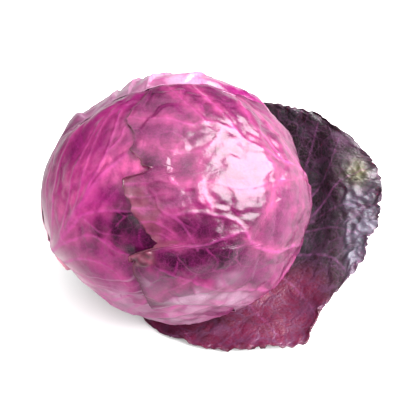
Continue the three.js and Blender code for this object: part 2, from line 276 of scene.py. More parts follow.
def pileRadius(d, count, pressed=False):  # pressed: as a margin lies, close on what is right under it
    radius = innerHeadRadius(d) + head["gap"]
    fall = head["pressedFall"] if pressed else head["fall"]
    for leaf in wrappedLeaves[:count]:
        u, v = placeOn(leaf["frame"], d)
        t, fromRib, inside = onLeaf(leaf, u, v)
        step = smoothStep((inside + 2 + fall) / fall)
        own = head["blade"] + head["gap"] + swell(leaf, d) + ribAt(leaf, u, fromRib)
        if pressed:
            own = own - thinnedBy(leaf, d, inside, fannedAt(u))
        radius = radius + step * own
    return radius


def thinnedBy(leaf, d, inside, fanned):  # how much lower a leaf lies close to its own margin
    atMargin = bell(np.maximum(inside, 0), head["marginReach"]) * fanned
    lower = (1 - marginShare) * head["blade"] + leaf.get("pressed", 0.9) * head["gap"]
    return atMargin * (lower + 0.7 * swell(leaf, d))


def swell(leaf, d):  # broad, shallow dents of the leaf, always outwards of the pile
    return 0.45 * (1 + 0.8 * ripple(d * meanRadius, 46, leaf["seed"]))


def uncovered(d, order):
    most = np.full(len(d), -99.0)
    for leaf in wrappedLeaves[order + 1:]:
        u, v = placeOn(leaf["frame"], d)
        most = np.maximum(most, onLeaf(leaf, u, v)[2])
    return smoothStep((0.5 - most) / 6)


# Veins


def nearestOf(points, line):  # distance from each point to a line of points, and how far along it
    a, b = line[:-1], line[1:]
    ab = b - a
    length2 = (ab ** 2).sum(1)
    run = np.concatenate([[0], np.cumsum(np.sqrt(length2))])
    best = np.full(len(points), 1e9)
    share = np.zeros(len(points))
    for k in range(0, len(points), atOnce):
        p = points[k:k + atOnce]
        ap = p[:, None, :] - a[None]
        f = np.clip((ap * ab[None]).sum(2) / length2[None], 0, 1)
        gap = np.linalg.norm(ap - f[..., None] * ab[None], axis=2)
        i = gap.argmin(1)
        rows = np.arange(len(p))
        best[k:k + atOnce] = gap[rows, i]
        share[k:k + atOnce] = (run[i] + f[rows, i] * np.sqrt(length2[i])) / run[-1]
    return best, share


def finerLine(stops, steps=24):  # a drawn line of stops made smooth
    return throughValues(stops, np.linspace(0, 1, steps))


def veinField(points, veins):  # veins are lines in mm with a width at each end
    raised = np.zeros(len(points))
    drawn = np.zeros(len(points))
    nearest = np.full(len(points), 99.0)
    for line, wide, narrow in veins:
        gap, share = nearestOf(points, line)
        width = wide + (narrow - wide) * share
        most = np.clip(width / wide, 0.35, 1) * min(1, wide / 2)
        raised = np.maximum(raised, bell(gap, width) * most)
        drawn = np.maximum(drawn, bell(gap, 0.5 + 0.4 * width) * most)
        nearest = np.minimum(nearest, gap)
    return raised, drawn, nearest


def cellsOn(points, seeds, warp, seed, tilt):  # mm to the nearest cell's border, its slope and tone
    moved = points + warp * np.stack([ripple(points, 24, seed + k) for k in range(3)], 1)
    rng = np.random.default_rng(seed)
    slopes = rng.normal(scale=tilt, size=seeds.shape)
    tones = rng.uniform(size=len(seeds))
    border, facet, tone = (np.zeros(len(points)) for _ in range(3))
    for k in range(0, len(points), atOnce):
        here = moved[k:k + atOnce]
        gap = np.linalg.norm(here[:, None, :] - seeds[None], axis=2)
        near = np.argpartition(gap, 1, axis=1)[:, :2]
        order = np.take_along_axis(gap, near, 1).argsort(1)
        near = np.take_along_axis(near, order, 1)
        two = np.take_along_axis(gap, near, 1)
        edge = (two[:, 1] - two[:, 0]) / 2
        own = ((here - seeds[near[:, 0]]) * slopes[near[:, 0]]).sum(1)
        other = ((here - seeds[near[:, 1]]) * slopes[near[:, 1]]).sum(1)
        share = 0.5 * (1 - smoothStep(edge / 1.8))
        border[k:k + atOnce] = edge
        facet[k:k + atOnce] = own * (1 - share) + other * share
        blend = 0.5 * (1 - smoothStep(edge / 0.7))
        tone[k:k + atOnce] = tones[near[:, 0]] * (1 - blend) + tones[near[:, 1]] * blend
    return border, facet, tone


def scatterOnHead(count, seed):
    rng = np.random.default_rng(seed)
    k = np.arange(count) + 0.5
    tilt = np.arccos(1 - 2 * k / count)
    turn = math.pi * (1 + 5 ** 0.5) * k
    d = np.stack([np.cos(turn) * np.sin(tilt), np.sin(turn) * np.sin(tilt), np.cos(tilt)], 1)
    return unit(d + rng.normal(scale=0.055, size=d.shape)) * meanRadius


def drawnVein(leaf, stops, wide, narrow):
    stops = np.array(stops, float)
    fine = finerLine(stops, 6 * len(stops))
    return directionOn(leaf["frame"], fine[:, 0], fine[:, 1]) * meanRadius, wide, narrow


def midrib(leaf, wide, narrow, upTo=0.96):
    u = np.linspace(baseDegrees, baseDegrees + upTo * (leaf["tip"] - baseDegrees), 40)
    return directionOn(leaf["frame"], u, margins(leaf, u)[1]) * meanRadius, wide, narrow


def sideVeins(leaf, starts, wide, narrow):  # pairs of veins that leave the midrib and bend to the tip
    veins = []
    tip = leaf["tip"]
    for k, startAt in enumerate(starts):
        for way in (-1, 1):
            begin = startAt + (3 if way > 0 else 0)
            share = np.linspace(0, 1, 24)
            u = begin + (tip - begin) * 0.62 * share ** 1.25
            low, mid, high = margins(leaf, u)
            spread = share ** 0.9 * 0.93
            v = mid + spread * np.where(way > 0, high - mid, low - mid)
            bend = 1.2 * np.sin(share * 9 + k * 2 + way)
            veins.append((directionOn(leaf["frame"], u, v + bend) * meanRadius, wide, narrow))
    return veins


front = leafByName["leaf_front"]
ribbed = leafByName["leaf_ribbed"]
# Main veins as they run on the head: stops in u and v, then mm wide at the start and at the end
frontLines = [
    ([(150, 2), (180, 8), (198, 11), (206, 14), (216, 17), (223, 23.5), (230, 27), (239, 29),
      (247, 27.5), (256, 31), (267, 32.5), (279, 35)], 2.4, 1.0),
    ([(223, 23.5), (226, 31), (230, 38.5), (234, 46), (237, 56)], 1.6, 0.8),
    ([(198, 11), (203, 20), (211, 26.5), (211, 37), (206, 50)], 1.8, 0.8),
    ([(180, 8), (188, 20), (194, 34), (196, 48)], 1.6, 0.8),
    ([(150, 2), (180, 4.3), (197, 2), (208, 1), (217, -1), (224, -2.4), (232, -2), (239, 0),
      (244, 0.5), (252, 0.2), (258, 1), (265, 2.7)], 1.0, 0.7),
    ([(244, 0.5), (246, 6), (243, 11.6), (236, 20)], 0.8, 0.6),
    ([(258, 1), (257, 7.6), (255, 15.5), (253, 19)], 0.8, 0.6),
    ([(230, 27), (238, 18), (247, 14), (258, 15), (270, 19)], 1.0, 0.7),
    ([(239, 29), (245, 38), (251, 47), (258, 57)], 1.2, 0.7),
    ([(150, -22), (175, -25), (195, -29.5), (208, -29.5), (219, -26), (224, -21), (228, -17),
      (233, -15), (240, -13.6), (246, -12.3), (253, -12.2), (259, -12.8), (263.5, -9.4), (265, -4),
      (267, -1.5)], 2.2, 0.9),
    ([(224, -21), (228, -21.2), (236, -24), (244, -26.5), (253, -27), (260, -25.5)], 1.5, 0.8),
    ([(259, -12.8), (255, -16), (251, -22), (247, -29)], 1.2, 0.8),
    ([(240, -13.6), (242, -9.3), (244, -5), (244.4, 0.3)], 0.9, 0.6),
    ([(208, 1), (210, -8), (215, -16), (219, -26)], 0.9, 0.6),
    ([(278, -3), (272, -4.5), (266, -4), (260, -3)], 1.2, 0.6),
    ([(275.5, -8.5), (270, -9.5), (264, -10)], 1.1, 0.6),
    ([(272.5, -15), (267, -15), (262, -17.5), (258, -21)], 1.2, 0.6),
    ([(269, -20), (264, -20.5), (260, -23.5)], 1.1, 0.6),
    ([(278, 2), (270, 1.5), (262, 2.6)], 1.0, 0.6),
    ([(165, -25), (174, -41), (182, -48.6), (206, -51.7), (226, -51), (241, -47), (251, -43.7),
      (262, -39), (269, -35)], 2.2, 0.9),
    ([(251, -43.7), (264, -49), (276, -53)], 1.2, 0.7),
    ([(174, -41), (185, -62), (231, -59.2), (249, -59.7), (268, -62)], 1.6, 0.8),
    ([(20, -20), (60, -14), (100, -4), (130, 0), (150, 2)], 3.4, 2.4),
    ([(100, -4), (125, -14), (150, -22)], 2.6, 2.2),
    ([(60, -14), (90, 8), (120, 26), (150, 40), (185, 54)], 2.4, 1.0),
    ([(90, -8), (110, -26), (140, -44), (180, -60)], 2.2, 1.0),
]
frontVeins = [drawnVein(front, *line) for line in frontLines]
ribbedLines = [
    ([(64, -0.5), (68.5, -3.7), (74, -7.3), (80, -13), (85, -19.5), (88.5, -25), (92.5, -33)], 1.8, 0.9),
    ([(80, -13), (87.7, -15.8), (92.4, -21), (100, -26)], 1.3, 0.7),
    ([(46, 5), (54.3, 2), (61.5, -4), (67, -11), (73.3, -19.7), (80.4, -28), (88, -36)], 1.6, 0.8),
    ([(24, 5), (37.6, 5), (49, -1), (56.7, -9.3), (65, -17.5), (72.4, -24.7), (82, -34)], 1.8, 0.8),
    ([(14, 1), (21, 0), (34.8, -4), (43, -12), (49, -20), (57, -27.7), (63, -35), (72, -42)], 2.0, 0.8),
    ([(12, -2), (23, -2), (31, -8), (36, -18), (43, -25), (45, -35)], 1.6, 0.8),
    ([(30, 6), (48, 6.6), (56, 6), (63.4, 8), (71.5, 12.3), (79, 16.6), (92, 22)], 2.2, 0.9),
    ([(56, 6), (58.5, 12), (61, 17.4), (70, 24)], 1.2, 0.7),
    ([(14, 3), (25, 5), (44, 11), (54, 14.6), (59.4, 20.7), (62.5, 28.3), (66, 32)], 2.2, 0.9),
    ([(14, 5), (19, 10.3), (39, 18.6), (48, 25.5), (51.4, 33.3), (48, 42)], 2.0, 0.8),
    ([(13, 7), (24.5, 20), (30, 29), (28, 39), (24, 48)], 1.8, 0.8),
    ([(90, -7.4), (100, 0), (112, 4), (126, 4)], 1.2, 0.7),
    ([(90, -7.4), (100, -16), (112, -22)], 1.2, 0.7),
]
ribbedVeins = [midrib(ribbed, 3.4, 1.2)] + [drawnVein(ribbed, *line) for line in ribbedLines]

# Materials


def linear(hexColour):
    channels = [int(hexColour[k:k + 2], 16) / 255 for k in (1, 3, 5)]
    return tuple(c / 12.92 if c <= 0.04045 else ((c + 0.055) / 1.055) ** 2.4 for c in channels) + (1.0,)


def addNode(tree, kind, settings=None, links=None, output=0):
    node = tree.nodes.new(kind)
    for key, value in (settings or {}).items():
        if isinstance(key, str) and key not in node.inputs:
            setattr(node, key, value)
        else:
            node.inputs[key].default_value = value
    for key, source in (links or {}).items():
        tree.links.new(source, node.inputs[key])
    return node.outputs[output] if node.outputs else node


driftMm = 6  # size of the bends that keep the fine vein network from looking drawn
driftReach = 0.0026  # metres
reliefHeight = 0.0004  # metres


def emptyMaterial(name):
    material = bpy.data.materials.new(name)
    material.use_nodes = True
    material.node_tree.nodes.clear()
    return material, material.node_tree


def leafSkin(name, look):
    material, tree = emptyMaterial(name)
    place = addNode(tree, "ShaderNodeTexCoord", output="Object")
    laid = addNode(tree, "ShaderNodeTexCoord", output="UV")
    combed = addNode(tree, "ShaderNodeMapping", {"Scale": look["combed"]}, {"Vector": laid})
    settings = {"Scale": 1000 / driftMm, "Detail": 3}
    drift = addNode(tree, "ShaderNodeTexNoise", settings, {"Vector": place}, "Color")
    settings = {"operation": "MULTIPLY_ADD", 1: (driftReach,) * 3}
    warped = addNode(tree, "ShaderNodeVectorMath", settings, {0: drift, 2: place})
    settings = {"Scale": 1.0, "Detail": 5, "Roughness": 0.6, "Distortion": 0.3}
    source = {"streak": addNode(tree, "ShaderNodeTexNoise", settings, {"Vector": combed}, "Fac")}
    for key in ("clouds", "grain", "fleck", "pebble"):
        settings = {"Scale": 1000 / look[key + "Mm"], "Detail": 5, "Roughness": 0.6}
        source[key] = addNode(tree, "ShaderNodeTexNoise", settings, {"Vector": place}, "Fac")
    for key, size in (("net", look["netMm"]), ("fineNet", look["netMm"] / 2.6)):
        settings = {"feature": "DISTANCE_TO_EDGE", "Scale": 1000 / size}
        source[key] = addNode(tree, "ShaderNodeTexVoronoi", settings, {"Vector": warped})
    for key in ("vein", "cell", "base", "dry", "toneAndPaintedShade", "blushAndPaintedGlow", "bloomAndPaintedSheen", "edge"):
        source[key] = addNode(tree, "ShaderNodeAttribute", {"attribute_name": key}, output="Fac")
    layers = [  # what shows it, where it starts and is full, how strong, what it fades with, colour
        ("clouds", 0.36, 0.64, 1.0, None, "body"),
        ("grain", 0.4, 0.75, 0.5, None, "bright"),
        ("pebble", 0.5, 0.7, 0.45, None, "bright"),
        ("pebble", 0.46, 0.3, 0.45, None, "deep"),
        ("streak", 0.5, 0.72, look["streaks"], None, "bright"),
        ("streak", 0.48, 0.28, look["streaks"], None, "deep"),
        # blush: a painted pink glow next to the veins and in patches, as light through the thin leaf; on the
        # loose leaf painted bounce light
        ("blushAndPaintedGlow", 0.0, 1.0, 1.0, "grain", "blushAndPaintedGlow"),
        # shade: a random darker tone plus painted shade and a painted dark reflection, in the shadow colour
        ("toneAndPaintedShade", 0.0, 1.0, 1.0, None, "shadow"),
        # bloom: painted highlights on folds, shingles and margins and painted reflections of the table, in
        # the waxy tone; on the loose leaf also a real grey-blue bloom
        ("bloomAndPaintedSheen", 0.0, 1.0, 1.0, None, "waxAndSheen"),
        ("base", 0.0, 1.0, 1.0, None, "base"),
        ("fineNet", 0.09, 0.0, look["netShare"], "fleck", "cellLine"),
        ("net", 0.07, 0.0, look["netShare"], "grain", "cellLine"),
        ("cell", 0.1, 0.9, 0.6, "fleck", "cellLine"),
        ("dry", 0.0, 0.8, 1.0, None, "dryDark"),
        ("dry", 0.0, 1.0, 1.0, "grain", "dryPale"),
        ("vein", 0.12, 0.8, look["veinShare"], "grain", "vein"),
        ("edge", 0.0, 1.0, 1.0, None, "edge"),
    ]
    under = {}  # the colour so far
    for key, low, high, most, fades, tone in layers:
        settings = {"From Min": low, "From Max": high, "To Min": 0.0, "To Max": most}
        share = addNode(tree, "ShaderNodeMapRange", settings, {"Value": source[key]})
        if fades:
            settings = {"From Min": 0.3, "From Max": 0.65, "To Min": 0.25}
            faded = addNode(tree, "ShaderNodeMapRange", settings, {"Value": source[fades]})
            share = addNode(tree, "ShaderNodeMath", {"operation": "MULTIPLY"}, {0: share, 1: faded})
        settings = {"data_type": "RGBA", 6: linear(look["deep"]), 7: linear(look[tone])}
        colour = addNode(tree, "ShaderNodeMix", settings, {0: share, **under}, 2)
        under = {6: colour}
    low, high = look["rough"]
    settings = {"From Min": 0.3, "From Max": 0.7, "To Min": low, "To Max": high}
    rough = addNode(tree, "ShaderNodeMapRange", settings, {"Value": source["clouds"]})
    settings = {"operation": "MULTIPLY_ADD", 1: 0.3, "use_clamp": True}
    rough = addNode(tree, "ShaderNodeMath", settings, {0: source["dry"], 2: rough})
    height = source["pebble"]
    for key, amount in look["relief"].items():
        settings = {"operation": "MULTIPLY_ADD", 1: amount}
        height = addNode(tree, "ShaderNodeMath", settings, {0: source[key], 2: height})
    settings = {"Strength": look["reliefShare"], "Distance": reliefHeight}
    bump = addNode(tree, "ShaderNodeBump", settings, {"Height": height})
    shader = addNode(tree, "ShaderNodeBsdfPrincipled", {
        "IOR": look["ior"], "Coat Weight": look["coat"], "Coat Roughness": look["coatRough"],
        "Subsurface Weight": look["glow"], "Subsurface Radius": (0.004, 0.0012, 0.002),
        "Subsurface Scale": 1.0,
    }, {"Base Color": colour, "Roughness": rough, "Normal": bump, "Coat Normal": bump})
    addNode(tree, "ShaderNodeOutputMaterial", {}, {"Surface": shader})
    return material


# Wax-coated skin of a wrapped red-cabbage leaf: satin, deep magenta, pink where it thins over the ribs; its
# shadow colour is painted shade, its blush also a painted glow and its waxy tone also painted highlight and
# reflection
wrappedLook = {
    "cloudsMm": 34, "grainMm": 7, "fleckMm": 15, "pebbleMm": 1.6, "netMm": 7, "combed": (5.0, 46.0, 1.0),
    "deep": "#4c0436", "body": "#6a0649", "bright": "#7e1a5c", "shadow": "#24021a", "blushAndPaintedGlow": "#b8487e",
    "vein": "#943072", "cellLine": "#761556", "base": "#c9a9b4", "dryDark": "#33141e", "dryPale": "#74485a",
    "edge": "#3a1424", "waxAndSheen": "#967087", "streaks": 0.5, "netShare": 0.2, "veinShare": 0.75,
    "relief": {"grain": 0.3, "cell": 0.3, "streak": 0.5, "net": 0.4}, "reliefShare": 0.45,
    "rough": (0.34, 0.46), "ior": 1.15, "coat": 0.75, "coatRough": 0.16, "glow": 0.06,
}
# Upper side of the same leaf, thinner and duller towards its dried margin
frontLook = dict(
    wrappedLook, deep="#320322", body="#4c0636", bright="#661a4a", vein="#8a326c", cellLine="#6a1c4e",
    combed=(9.0, 46.0, 1.0), streaks=0.3, netShare=0.3, netMm=6, dryDark="#3c1024", dryPale="#6a3044",
)
# Weathered outer leaf: nearly black purple under a grey-blue bloom with painted sheen on it, with purple
# veins; its magenta base and blush are painted bounce light and its shadow colour painted shade
looseLook = dict(
    wrappedLook, deep="#100608", body="#201416", bright="#372c36", shadow="#080203", vein="#84487a",
    cellLine="#4e2c48", base="#500628", blushAndPaintedGlow="#841446", dryDark="#3a3a26", dryPale="#6c6c3e",
    waxAndSheen="#4c4955", rough=(0.4, 0.55), ior=1.4, coat=0.15, coatRough=0.28,
    relief={"grain": 0.5, "cell": 0.5, "net": 0.9, "fineNet": 0.7}, reliefShare=0.9,
    streaks=0.1, netMm=7, netShare=0.6,
)
# Inner leaves of the firm heart, glimpsed between the wrapped ones: paler and duller
innerLook = dict(
    wrappedLook, deep="#5a1040", body="#7c2258", bright="#a05a86",
    rough=(0.4, 0.55), coat=0.4, coatRough=0.25, netMm=9,
)


cutLook = {
    "pithMm": 6, "fibreMm": 1.4, "pith": "#b99a8c", "pale": "#dcc4b8", "fibre": "#8f7a58", "skin": "#b07488",
}


# Freshly cut stem: moist cream pith dotted with fibre ends, inside a pink skin
def cutStem(name):
    material, tree = emptyMaterial(name)
    place = addNode(tree, "ShaderNodeTexCoord", output="Object")
    settings = {"Scale": 1000 / cutLook["pithMm"], "Detail": 5}
    pith = addNode(tree, "ShaderNodeTexNoise", settings, {"Vector": place}, "Fac")
    fibre = addNode(tree, "ShaderNodeTexVoronoi", {"Scale": 1000 / cutLook["fibreMm"]}, {"Vector": place})
    settings = {"data_type": "RGBA", 6: linear(cutLook["pith"]), 7: linear(cutLook["pale"])}
    colour = addNode(tree, "ShaderNodeMix", settings, {0: pith}, 2)
    settings = {"From Min": 0.1, "From Max": 0.5, "To Min": 0.5, "To Max": 0.0}
    dots = addNode(tree, "ShaderNodeMapRange", settings, {0: fibre})
    skin = addNode(tree, "ShaderNodeAttribute", {"attribute_name": "skin"}, output="Fac")
    for share, tone in ((dots, "fibre"), (skin, "skin")):
        settings = {"data_type": "RGBA", 7: linear(cutLook[tone])}
        colour = addNode(tree, "ShaderNodeMix", settings, {0: share, 6: colour}, 2)
    settings = {"Strength": 0.5, "Distance": reliefHeight}
    bump = addNode(tree, "ShaderNodeBump", settings, {"Height": fibre})
    rough = addNode(tree, "ShaderNodeMapRange", {"To Min": 0.45, "To Max": 0.7}, {0: pith})
    settings = {"IOR": 1.4, "Subsurface Weight": 0.15, "Subsurface Radius": (0.002, 0.0015, 0.001)}
    links = {"Base Color": colour, "Roughness": rough, "Normal": bump}
    shader = addNode(tree, "ShaderNodeBsdfPrincipled", settings, links)
    addNode(tree, "ShaderNodeOutputMaterial", {}, {"Surface": shader})
    return material


skins = {
    "inner_leaves": leafSkin("inner leaves of the heart", innerLook),
    "wrapped_leaf": leafSkin("wrapped leaf cuticle", wrappedLook),
    "front_leaf": leafSkin("front leaf cuticle", frontLook),
    "loose_leaf": leafSkin("outer leaf with bloom", looseLook),
}
print("materials made")

# Leaves


def selectOnly(piece):
    bpy.ops.object.select_all(action="DESELECT")
    piece.select_set(True)
    bpy.context.view_layer.objects.active = piece


def applyModifier(piece, kind, settings):
    modifier = piece.modifiers.new(kind.lower(), kind)
    for key, value in settings.items():
        setattr(modifier, key, value)
    selectOnly(piece)
    bpy.ops.object.modifier_apply(modifier=modifier.name)


def writeMark(piece, name, values):  # what the materials read, 0 to 1 at each point
    attribute = piece.data.attributes.new(name, "FLOAT", "POINT")
    attribute.data.foreach_set("value", np.clip(values, 0, 1).astype(np.float32))


def sheetPiece(name, grid, shape, thickness, material, outwards=True):
    bpy.ops.object.select_all(action="DESELECT")
    bpy.ops.mesh.primitive_grid_add(x_subdivisions=grid[0], y_subdivisions=grid[1], size=2)
    piece = bpy.context.object
    piece.name = name + "_leaf"
    piece.data.name = piece.name
    flat = np.zeros(len(piece.data.vertices) * 3)
    piece.data.vertices.foreach_get("co", flat)
    flat = flat.reshape(-1, 3)
    points, marks = shape((flat[:, 0] + 1) / 2, flat[:, 1])
    piece.data.vertices.foreach_set("co", (points * mm).ravel())
    piece.data.update()
    thin = piece.vertex_groups.new(name="thin")
    steps = np.round(np.clip(marks.pop("thin"), 0, 1) * 24).astype(int)
    for step in range(25):
        thin.add(np.flatnonzero(steps == step).tolist(), step / 24, "REPLACE")
    for key, values in marks.items():
        writeMark(piece, key, values)
    selectOnly(piece)
    normals = np.array([f.normal for f in piece.data.polygons])
    middles = np.array([f.center for f in piece.data.polygons]) - centre * mm
    facesOut = (normals * middles).sum() > 0
    if facesOut != outwards:
        bpy.ops.object.mode_set(mode="EDIT")
        bpy.ops.mesh.select_all(action="SELECT")
        bpy.ops.mesh.flip_normals()
        bpy.ops.object.mode_set(mode="OBJECT")
    applyModifier(piece, "SOLIDIFY", {
        "thickness": thickness * mm, "offset": -1, "use_even_offset": False,
        "vertex_group": "thin", "invert_vertex_group": True, "thickness_vertex_group": marginShare,
    })
    bpy.ops.object.shade_smooth()
    piece.data.materials.clear()
    piece.data.materials.append(material)
    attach(piece, "root")
    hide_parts(name)
    print(name, len(piece.data.polygons), "faces")
    return piece


cellSeeds = scatterOnHead(240, 5)

folding = {
    "steepFrom": 0.86,  # share of a fold's width where its steep side starts
    "crestAt": 0.84,
    "footShare": 0.05,
    "startsOver": 14,  # degrees of u
    "fadesOver": 40,
}


def foldsOn(leaf, skin, t, u):  # long overlapping folds that run from the stem, steep on one side
    count, height, upTo = leaf["folds"]
    wander = 0.45 * ripple(skin, 60, leaf["seed"] + 9) + 0.12 * ripple(skin, 20, leaf["seed"] + 10)
    x = count * t + wander
    saw = x - np.floor(x)
    steep = folding["steepFrom"]
    profile = saw ** 1.3 * (1 - smoothStep((saw - steep) / (1 - steep)))
    uneven = 0.6 + 0.5 * np.sin(2.4 * np.floor(x) + leaf["seed"])
    here = uneven * smoothStep((u - baseDegrees - 5) / folding["startsOver"])
    here = here * (1 - smoothStep((u - upTo) / folding["fadesOver"]))
    here = here * smoothStep((t - leaf.get("foldsFrom", -2)) / 0.2)
    # crest and foot: where a fold's painted highlight and painted shadow go
    crest = bell(saw - folding["crestAt"], 0.03 + 0.009 * count) * here
    foot = bell(np.minimum(saw, 1 - saw), folding["footShare"]) * here
    return height * profile * here, crest, foot


def shinglesOn(leaf, u, v):  # short folds on the upper limb: each rises from the stem and ends in a drop
    drops, height, fromV = leaf.get("shingles", ([0, 1], 0, 0))
    k = np.clip(np.searchsorted(drops, u) - 1, 0, len(drops) - 2)
    first, last = np.array(drops, float)[k], np.array(drops, float)[k + 1]
    share = np.clip((u - first) / (last - first), 0, 1)
    here = smoothStep((v - fromV) / 8)
    profile = share ** 1.6 * (1 - smoothStep((share - 0.93) / 0.07))
    # edge: where a shingle's painted highlight goes
    edge = bell(share - 0.9, 0.05) * here * min(1, height)
    return height * profile * here, edge


relief = {  # mm, on top of a leaf's swell
    "pillow": 0.42,  # how much the leaf stands up between its veins
    "pillowReach": 3.6,
    "ridge": 0.8,  # over a main vein
    "creases": 0.1,
    "creaseSize": 9,
    "cellLine": 0.45,
    "cellBend": 2.2,
    "facetDown": -0.8,
    "facetUp": 1.1,
    "pressReach": 9,  # how far in from its margin a leaf follows what is right under it
    "shingleReach": 7,
    "flatterBelow": -32,  # v below which the front leaf has flatter, steeper panels
}
# How much of a patch of painted shade, glow or highlight is there whatever the tone of the panel between the
# veins
evenShare = {"toneAndPaintedShade": 0.9, "blushAndPaintedGlow": 0.6, "bloomAndPaintedSheen": 0.3}


def wrappedShape(leaf, order, veins, extra=None):
    seed = leaf["seed"]

    def shape(s, t):
        s = 1 - (1 - s) ** leaf.get("crowd", 1.0)
        vTip = acrossAt(leaf, np.full_like(s, leaf["tip"]), t)
        u = baseDegrees + s * (tipAt(leaf, t, vTip) - baseDegrees)
        v = acrossAt(leaf, u, t)
        d = directionOn(leaf["frame"], u, v)
        skin = d * meanRadius
        _, fromRib, inside = onLeaf(leaf, u, v)
        inside = np.maximum(inside, 0)
        fanned = fannedAt(u)
        openAir = uncovered(d, order)
        atMargin = bell(inside, head["marginReach"]) * fanned

        pressed = bell(inside, relief["pressReach"]) * fanned
        radius = (1 - pressed) * pileRadius(d, order) + pressed * pileRadius(d, order, True)
        radius = radius + head["gap"] + head["blade"] + swell(leaf, d) + ribAt(leaf, u, fromRib)
        radius = radius - thinnedBy(leaf, d, inside, fanned)

        raised, drawn, nearest = veinField(skin, veins)
        facets = leaf.get("facets", 0.025)
        border, facet, tone = cellsOn(skin, cellSeeds, relief["cellBend"], seed, facets)
        if leaf["name"] == "leaf_front":
            facet = facet * (1 + 1.6 * smoothStep((relief["flatterBelow"] - v) / 8))
        facet = np.clip(facet, relief["facetDown"], relief["facetUp"])
        fromVein = np.minimum(border * 1.4, nearest)
        pillow = relief["pillow"] * (1 - bell(fromVein, relief["pillowReach"])) * fanned
        folds, crest, foot = foldsOn(leaf, skin, t, u)
        shingles, shingleEdge = shinglesOn(leaf, u, v)
        creases = relief["creases"] * ripple(skin, relief["creaseSize"], seed + 6) * fanned
        lift = leaf["lift"] * openAir * atMargin * (1 + 0.6 * ripple(skin, 22, seed + 2))
        height = pillow + folds + relief["ridge"] * raised + creases + facet * fanned
        radius = radius + height * openAir * (1 - 0.85 * atMargin) + lift
        radius = radius + shingles * openAir * (1 - 0.97 * bell(inside, relief["shingleReach"]))

        marks = {
            "thin": atMargin,
            "vein": drawn,
            "cell": bell(border, relief["cellLine"]) * fanned,
            "base": bell(u - baseDegrees, 15),
            "dry": 0.0 * u,
            # shade: a random darker tone plus painted shadow at the foot of each fold
            "toneAndPaintedShade": np.maximum(0.3 * smoothStep(0.5 + 0.5 * ripple(skin, 60, seed + 8)), 0.5 * foot),
            # bloom: painted highlight on fold crests, shingle drops and every margin
            "bloomAndPaintedSheen": np.maximum(0.7 * crest + 0.9 * shingleEdge, 0.8 * bell(inside, 0.9) * fanned),
            # blush: a painted pink glow next to the veins
            "blushAndPaintedGlow": 0.35 * bell(nearest, 5) * fanned,
            "edge": 0.0 * u,
        }
        uneven = 1 + 0.2 * ripple(skin, 15, seed + 12)
        for key, uMiddle, vMiddle, uHalf, vHalf, most in leaf.get("patches", []):
            away = ((u - uMiddle) / uHalf) ** 2 + ((v - vMiddle) / vHalf) ** 2
            even = evenShare[key]
            panel = even + (1 - even) * smoothStep((tone - 0.3) / 0.4)
            marks[key] = np.maximum(marks[key], most * smoothStep(1.5 * np.exp(-away)) * panel * uneven)
        points = d * radius[:, None]
        if extra:
            points, marks = extra(points, marks, u, v, d)
        return points + centre, marks
    return shape


def genericVeins(leaf):
    return [midrib(leaf, 3.4, 1.2)] + sideVeins(leaf, [14, 28, 46, 66, 88, 110], 1.8, 0.8)


tornEdge = {
    "curlAt": [-66, -33.5, -32, -30, -27.5, -26, -22, 0, 3, 5, 8, 10, 34, 66],  # v
    "curlWide": [0.1, 0.1, 3, 7, 8, 1.0, 0.1, 0.1, 1.5, 5, 3, 0.1, 0.1, 0.1],  # mm of leaf
    "curlTightness": 0.6,
    "middle": -12,  # v of the middle of the withered stretch
    "lift": 2.2,
    "liftReach": 12,
    "scrapFrom": 266,  # u, and v from and to, of the dry scrap under the notch
    "scrapBetween": (-35, -25),
    "witheredWidth": 13,
}


def tornFront(points, marks, u, v, d):  # the dry, torn and curled edge of the front leaf
    toEnd = np.maximum((tornEnd(v) - u) * mmPerDegree * np.cos(np.radians(v)), 0)
    curlWidth = np.interp(v, tornEdge["curlAt"], tornEdge["curlWide"])
    curlRadius = tornEdge["curlTightness"] * curlWidth
    arc = np.clip(curlWidth - toEnd, 0, None)
    turn = arc / curlRadius
    start, away, side = front["frame"]
    ur = np.radians(u)
    alongLeaf = -np.sin(ur)[:, None] * start + np.cos(ur)[:, None] * away
    raised = tornEdge["lift"] * bell(toEnd, tornEdge["liftReach"]) * bell(v + 14, 13)
    points = points + d * (raised + curlRadius * (1 - np.cos(turn)))[:, None]
    points = points + alongLeaf * (curlRadius * np.sin(turn) - arc)[:, None]
    fromMiddle = np.abs(v - tornEdge["middle"])
    torn = smoothStep((34 - fromMiddle) / 12)
    low, high = tornEdge["scrapBetween"]
    scrap = smoothStep((u - tornEdge["scrapFrom"]) / 5) * smoothStep((v - low) / 2.5)
    scrap = scrap * smoothStep((high - v) / 1.5)
    crumple = bell(toEnd, 10) * torn * 0.5 * ripple(points, 12, 71)
    crumple = crumple + scrap * (1.1 * ripple(points, 9, 72) + 1.2)
    points = points + d * crumple[:, None]
    width = tornEdge["witheredWidth"] + 5 * ripple(points, 14, 73)
    withered = smoothStep((width - toEnd) / 8) * smoothStep((19 - fromMiddle) / 5)
    rim = 0.8 * bell(toEnd, 1.3) * torn
    marks["dry"] = np.maximum(np.maximum(0.6 * withered, rim), 0.9 * scrap)
    # the painted margin highlight stops short of the torn edge
    marks["bloomAndPaintedSheen"] = marks["bloomAndPaintedSheen"] * (1 - bell(toEnd, 2))
    marks["edge"] = bell(toEnd, 0.7) * (0.7 + 0.3 * ripple(points, 9, 74))
    marks["edge"] = np.maximum(marks["edge"], scrap * (0.45 + 0.45 * ripple(points, 7, 75)))
    marks["thin"] = np.maximum(marks["thin"], bell(toEnd, 4))
    return points, marks


veinsOf = {"leaf_front": frontVeins, "leaf_ribbed": ribbedVeins}
extraOf = {"leaf_front": tornFront}
slotOf = {"leaf_front": "front_leaf"}
quickShare = 1.0

